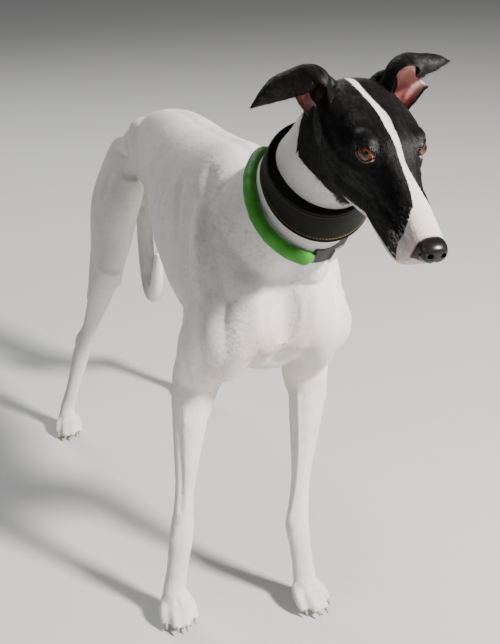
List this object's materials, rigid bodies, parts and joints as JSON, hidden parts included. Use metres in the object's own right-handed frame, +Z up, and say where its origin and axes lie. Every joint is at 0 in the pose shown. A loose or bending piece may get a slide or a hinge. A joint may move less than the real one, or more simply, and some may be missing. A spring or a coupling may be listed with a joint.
{
  "type": "greyhound",
  "caption": "Standing greyhound, life-size and still, white with a dark head and a narrow blaze, wearing a broad leather collar and a padded collar.",
  "frame": {"origin": "on the floor, at the middle of the lower side of the box round the whole dog", "axes": "+Z up, +Y towards the rump, +X towards the dog's left"},
  "size_m": [0.3845, 1.1402, 0.8862],
  "materials": {
    "coat": "short smooth white fur over pinkish skin",
    "coat_dark": "short glossy black fur with a white blaze",
    "eye": "wet and clear over an amber-brown iris",
    "leather": "dark smooth leather, stitched and piped at the edges",
    "padding": "soft green woven cover over a round padding",
    "webbing": "black woven strap",
    "metal": "polished"
  },
  "bodies": {
    "root": {"head": "coat_dark", "neck": "coat", "torso": "coat", "foreleg_right": "coat", "foreleg_left": "coat", "hind_leg_right": "coat", "hind_leg_left": "coat", "tail_upper": "coat", "tail_lower": "coat", "ear_right": "coat_dark", "ear_left": "coat_dark", "eye_right": "eye", "eye_left": "eye", "collar_leather": "leather", "collar_padded": "padding", "collar_webbing": "webbing", "collar_slider": "metal"}
  },
  "joints": []
}
